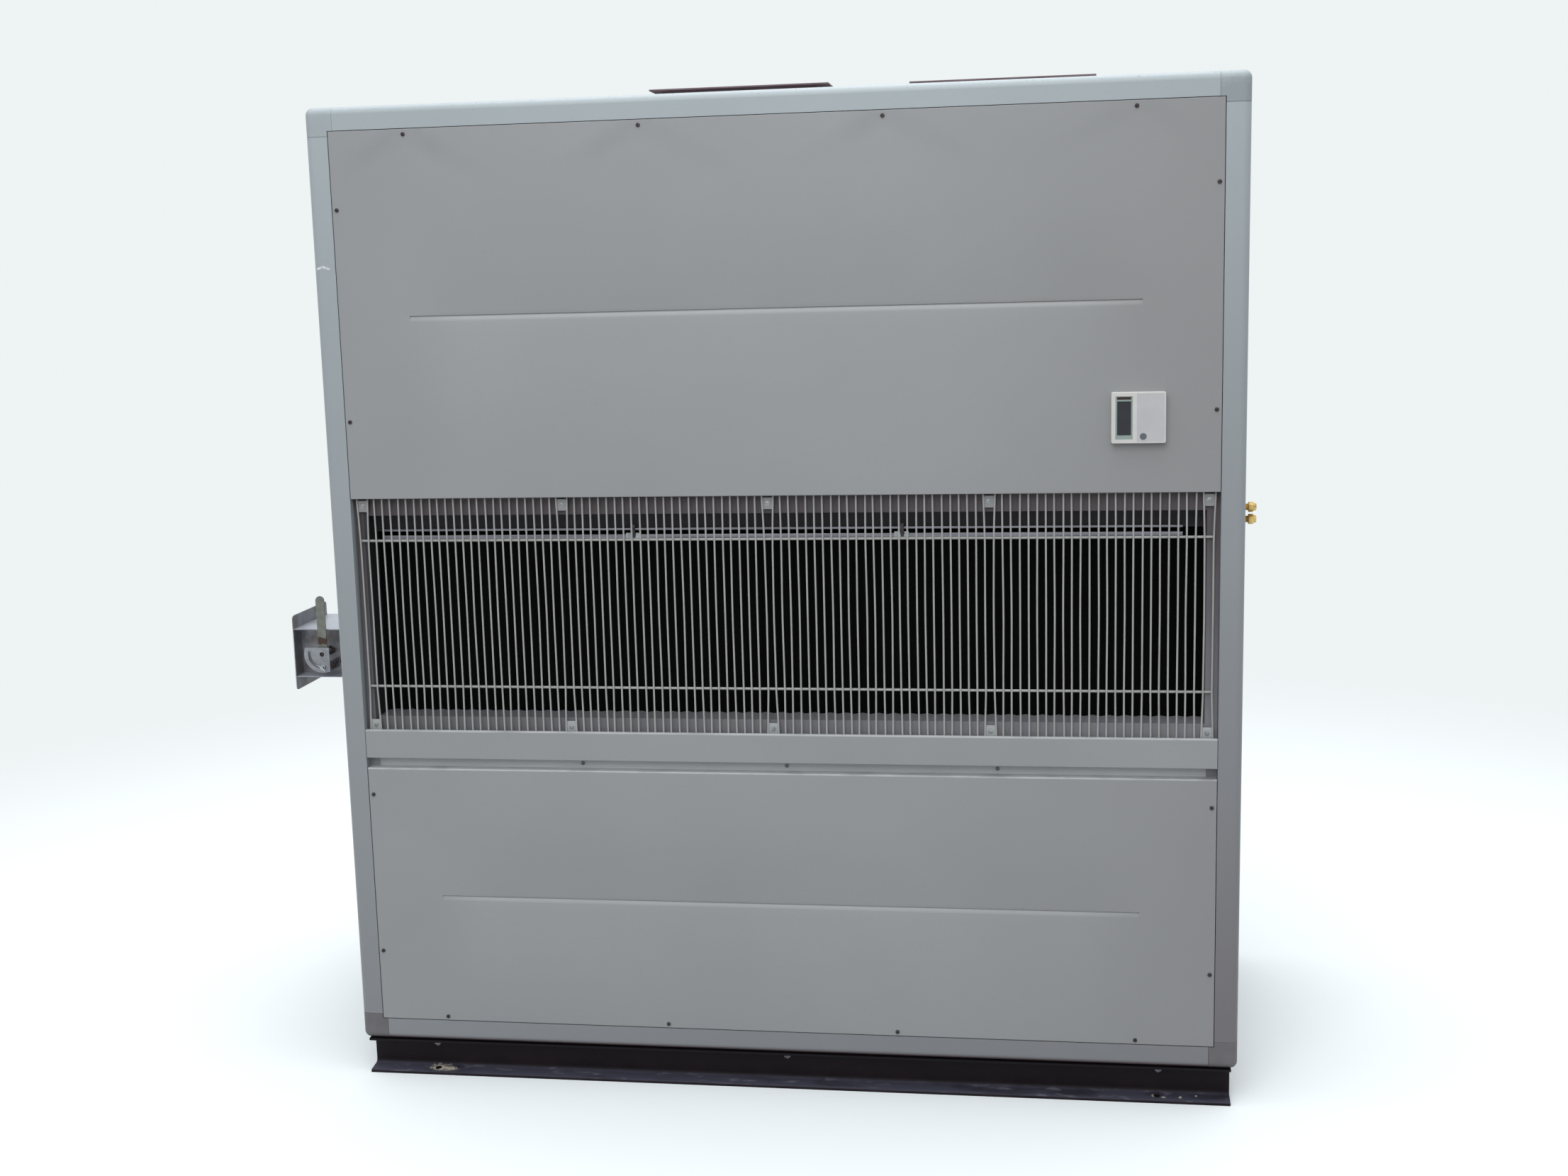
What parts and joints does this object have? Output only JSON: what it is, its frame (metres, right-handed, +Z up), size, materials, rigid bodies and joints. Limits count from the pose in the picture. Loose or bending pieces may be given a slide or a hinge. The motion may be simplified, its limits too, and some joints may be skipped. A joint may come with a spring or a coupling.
{
  "type": "floor-standing ducted air conditioner",
  "caption": "Tall grey panelled cabinet with a wire return-air grille in front, fan outlets on top and a fresh-air damper at the side; cools a room through ducts.",
  "frame": {"origin": "on the floor, at the centre of the four anchor holes in the base channels", "axes": "+X to the right seen from the front, +Y to the back, +Z up"},
  "size_m": [2.204, 0.9175, 2.136],
  "materials": {
    "base_paint": "black paint on rolled steel, dusty",
    "casting_paint": "satin grey paint on castings",
    "frame_coat": "satin grey powder coat on aluminium extrusion",
    "panel_coat": "satin grey powder coat on sheet steel",
    "grille_coat": "grey plastic-dipped steel wire",
    "galvanised_sheet": "galvanised sheet steel",
    "lever_steel": "zinc-plated steel with some rust",
    "collar_paint": "dull brown-grey primer on sheet steel",
    "fan_steel": "galvanised sheet steel",
    "shaft_steel": "turned steel",
    "filter_media": "black pleated filter mat",
    "rail_aluminium": "plain aluminium",
    "controller_case": "off-white moulded plastic",
    "display_window": "dark display behind a grey-green window",
    "controller_door": "light grey moulded plastic",
    "button_plastic": "grey moulded plastic",
    "fitting_brass": "plain brass"
  },
  "bodies": {
    "cabinet": {"base_front_channel": "base_paint", "base_back_channel": "base_paint", "base_cross_channels": "base_paint", "front_left_post": "frame_coat", "front_right_post": "frame_coat", "back_posts": "frame_coat", "top_front_rail": "frame_coat", "top_back_rail": "frame_coat", "top_side_rails": "frame_coat", "bottom_front_rail": "frame_coat", "bottom_back_rail": "frame_coat", "bottom_side_rails": "frame_coat", "top_corner_castings": "casting_paint", "bottom_corner_castings": "casting_paint", "middle_rails": "frame_coat", "upper_front_panel": "panel_coat", "lower_front_panel": "panel_coat", "left_upper_panel": "panel_coat", "left_lower_panel": "panel_coat", "right_upper_panel": "panel_coat", "right_lower_panel": "panel_coat", "back_upper_panel": "panel_coat", "back_lower_panel": "panel_coat", "top_panel": "panel_coat", "floor_panel": "panel_coat", "grille_sill": "panel_coat", "recess_strip": "panel_coat", "grille_surround": "panel_coat", "return_grille": "grille_coat", "grille_tabs": "grille_coat", "air_filter": "filter_media", "filter_rail": "rail_aluminium", "left_outlet_collar": "collar_paint", "right_outlet_collar": "collar_paint", "fan_wrappers": "fan_steel", "fan_side_plates": "fan_steel", "fan_wheels": "fan_steel", "fan_shaft": "shaft_steel", "damper_frame": "galvanised_sheet", "damper_quadrant": "galvanised_sheet", "controller_body": "controller_case", "controller_display": "display_window", "controller_flap": "controller_door", "controller_button": "button_plastic", "fitting_plate": "galvanised_sheet", "pipe_fittings": "fitting_brass"},
    "fresh_air_damper": {"damper_blade": "galvanised_sheet", "damper_lever": "lever_steel"}
  },
  "joints": [
    {"name": "damper_hinge", "type": "hinge", "parent": "cabinet", "child": "fresh_air_damper", "pos_m": [-1.129, 0, 0.8835], "axis": [0, 1, 0], "range_deg": [0, 90]}
  ]
}
